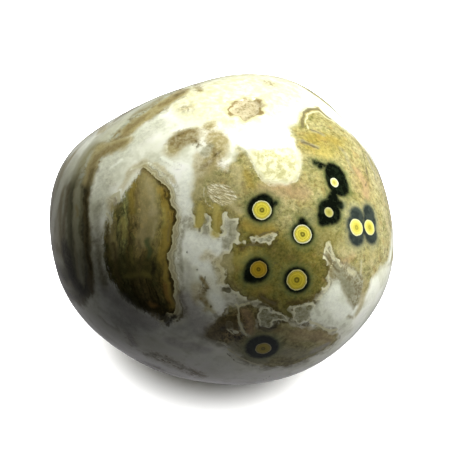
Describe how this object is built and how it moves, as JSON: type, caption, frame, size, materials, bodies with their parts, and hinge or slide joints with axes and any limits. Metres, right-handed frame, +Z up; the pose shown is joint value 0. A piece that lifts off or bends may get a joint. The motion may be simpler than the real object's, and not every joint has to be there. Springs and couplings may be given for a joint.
{
  "type": "tumbled agate",
  "caption": "Polished, tumbled orbicular agate pebble, rounded all over, resting on a small worn flat; a loose decorative stone or mineral specimen.",
  "frame": {"origin": "middle of the stone's plan outline, on the table plane of its resting flat", "axes": "+Z up out of the resting flat and along the stone's shortest size, +X along its longest size, +Y across it towards the back"},
  "size_m": [0.0342, 0.0328, 0.0283],
  "materials": {
    "polished_agate": "polished, slightly translucent chalcedony with yellow, olive, brown and grey-white patches and small orbs"
  },
  "bodies": {
    "root": {"agate_stone": "polished_agate"}
  },
  "joints": []
}
